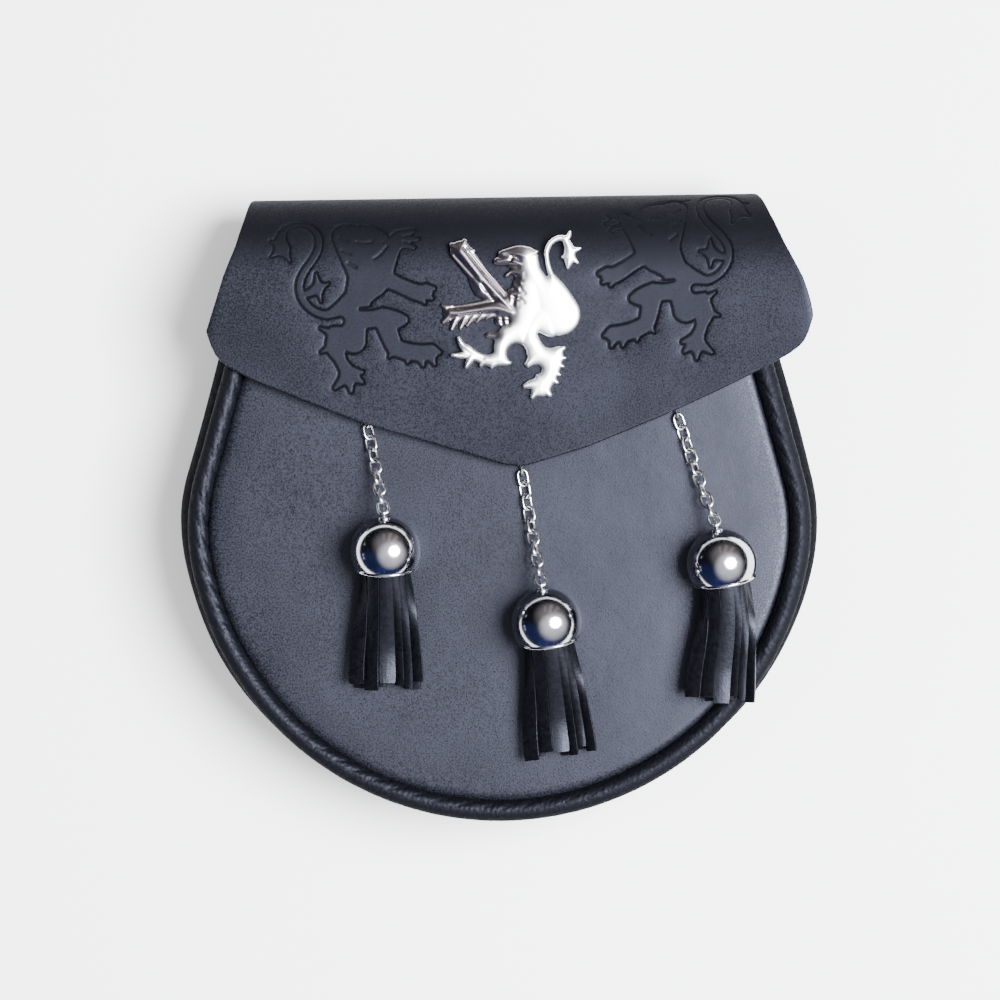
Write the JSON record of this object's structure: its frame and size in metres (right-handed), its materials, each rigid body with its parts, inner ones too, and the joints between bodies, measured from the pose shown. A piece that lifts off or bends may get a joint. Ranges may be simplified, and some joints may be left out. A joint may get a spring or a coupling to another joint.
{
  "type": "leather sporran pouch",
  "caption": "D-shaped leather pouch with a folded V flap, a cast lion badge, and bell-capped strip tassels hung on chains.",
  "frame": {"origin": "centre of the bounding box, at the surface that the pouch's back rests on", "axes": "+Z out of the pouch's front, +Y towards its mouth, +X to the right of the front as it is looked at"},
  "size_m": [0.2032, 0.1991, 0.0602],
  "materials": {
    "panel_leather": "smooth black leather, satin, fine grain",
    "soft_leather": "soft black leather, grained and puckered",
    "tassel_leather": "smooth black leather strips with cut edges",
    "chrome": "polished chrome plate",
    "steel": "plain nickelled steel"
  },
  "bodies": {
    "root": {"front_panel": "panel_leather", "back_panel": "panel_leather", "flap": "panel_leather", "strap_loop_left": "panel_leather", "strap_loop_right": "panel_leather", "gusset": "soft_leather", "front_piping": "soft_leather", "back_piping": "soft_leather", "snap_stud": "steel", "chain_post_left": "steel", "chain_post_centre": "steel", "chain_post_right": "steel", "bell_left": "chrome", "bell_centre": "chrome", "bell_right": "chrome", "tassel_left": "tassel_leather", "tassel_centre": "tassel_leather", "tassel_right": "tassel_leather", "lion_badge": "chrome", "link_left_00": "chrome", "link_left_01": "chrome", "link_left_02": "chrome", "link_left_03": "chrome", "link_left_04": "chrome", "link_left_05": "chrome", "link_left_06": "chrome", "link_left_07": "chrome", "link_left_08": "chrome", "link_centre_00": "chrome", "link_centre_01": "chrome", "link_centre_02": "chrome", "link_centre_03": "chrome", "link_centre_04": "chrome", "link_centre_05": "chrome", "link_centre_06": "chrome", "link_centre_07": "chrome", "link_centre_08": "chrome", "link_centre_09": "chrome", "link_right_00": "chrome", "link_right_01": "chrome", "link_right_02": "chrome", "link_right_03": "chrome", "link_right_04": "chrome", "link_right_05": "chrome", "link_right_06": "chrome", "link_right_07": "chrome", "link_right_08": "chrome", "link_right_09": "chrome"}
  },
  "joints": []
}
